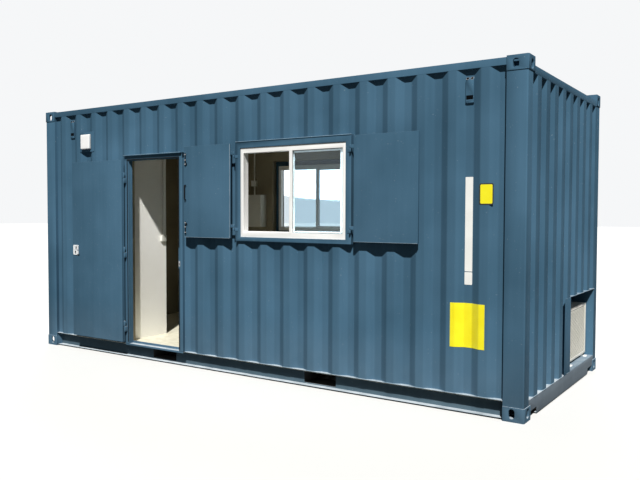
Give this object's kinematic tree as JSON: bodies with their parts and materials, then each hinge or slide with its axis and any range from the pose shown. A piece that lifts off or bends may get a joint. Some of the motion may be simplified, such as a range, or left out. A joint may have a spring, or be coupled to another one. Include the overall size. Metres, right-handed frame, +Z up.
{
  "type": "shipping container site cabin",
  "caption": "Steel container cabin with corrugated walls, an outward-opening door, a shuttered sliding window and a condenser recess.",
  "frame": {"origin": "on the ground under the middle of the container", "axes": "+X towards the end with the condenser recess, -Y out of the door and window side, +Z up"},
  "size_m": [6.058, 2.584, 2.896],
  "materials": {
    "steel_paint": "blue-grey semi-gloss enamel over corrugated weathering steel",
    "roof_paint": "the same blue-grey enamel, duller with dust",
    "lining_white": "off-white faced insulated panel",
    "lining_beige": "beige-brown faced insulated panel",
    "floor_vinyl": "cream sheet vinyl on plywood",
    "window_white": "white powder-coated aluminium",
    "window_glass": "clear float glass",
    "condenser_cream": "cream powder-coated sheet steel",
    "lamp_white": "opal plastic lamp cover",
    "electrical_white": "white electrical plastic and enamel",
    "lock_chrome": "chromed lever furniture"
  },
  "bodies": {
    "cabin": {"back_wall_panels": "steel_paint", "back_wall_window_strips": "steel_paint", "bottom_end_rails": "steel_paint", "bottom_side_rails": "steel_paint", "ceiling": "lining_white", "condenser_casing": "condenser_cream", "condenser_grille": "condenser_cream", "conduits": "electrical_white", "corner_fittings": "steel_paint", "corner_posts": "steel_paint", "distribution_board": "electrical_white", "door_head": "steel_paint", "door_hinge_pins": "steel_paint", "door_jambs": "steel_paint", "door_threshold": "steel_paint", "end_lining_over_recess": "lining_beige", "end_linings": "lining_beige", "floor": "floor_vinyl", "floor_cross_members": "steel_paint", "fork_pockets": "steel_paint", "front_wall_left": "steel_paint", "front_wall_middle": "steel_paint", "front_wall_over_door": "steel_paint", "front_wall_right": "steel_paint", "front_wall_window_strips": "steel_paint", "left_end_wall": "steel_paint", "light_fitting": "lamp_white", "light_plate": "steel_paint", "partition": "lining_white", "recess_boxing": "lining_beige", "recess_liner": "steel_paint", "right_end_wall": "steel_paint", "right_end_wall_over_recess": "steel_paint", "roof": "roof_paint", "shutter_hinge_pins": "steel_paint", "side_lining_panels": "lining_beige", "side_lining_strips": "lining_beige", "top_end_rails": "steel_paint", "top_side_rails": "steel_paint", "vents": "steel_paint", "window_frames": "window_white", "window_glass": "window_glass", "window_sashes": "window_white", "window_surrounds": "steel_paint"},
    "door": {"door_leaf": "steel_paint", "door_hinge_knuckles": "steel_paint", "door_lock": "lock_chrome"},
    "shutter_l": {"shutter_left": "steel_paint", "shutter_bolts": "steel_paint", "left_shutter_knuckles": "steel_paint"},
    "shutter_r": {"shutter_right": "steel_paint", "right_shutter_knuckles": "steel_paint"}
  },
  "joints": [
    {"name": "door_swing", "type": "hinge", "parent": "cabin", "child": "door", "pos_m": [-1.535, -1.269, 0.19], "axis": [0, 0, 1], "range_deg": [0, 180]},
    {"name": "shutter_left_swing", "type": "hinge", "parent": "cabin", "child": "shutter_l", "pos_m": [0.08, -1.2615, 1.4], "axis": [0, 0, 1], "range_deg": [0, 180]},
    {"name": "shutter_right_swing", "type": "hinge", "parent": "cabin", "child": "shutter_r", "pos_m": [1.445, -1.2615, 1.4], "axis": [0, 0, -1], "range_deg": [0, 180]}
  ]
}
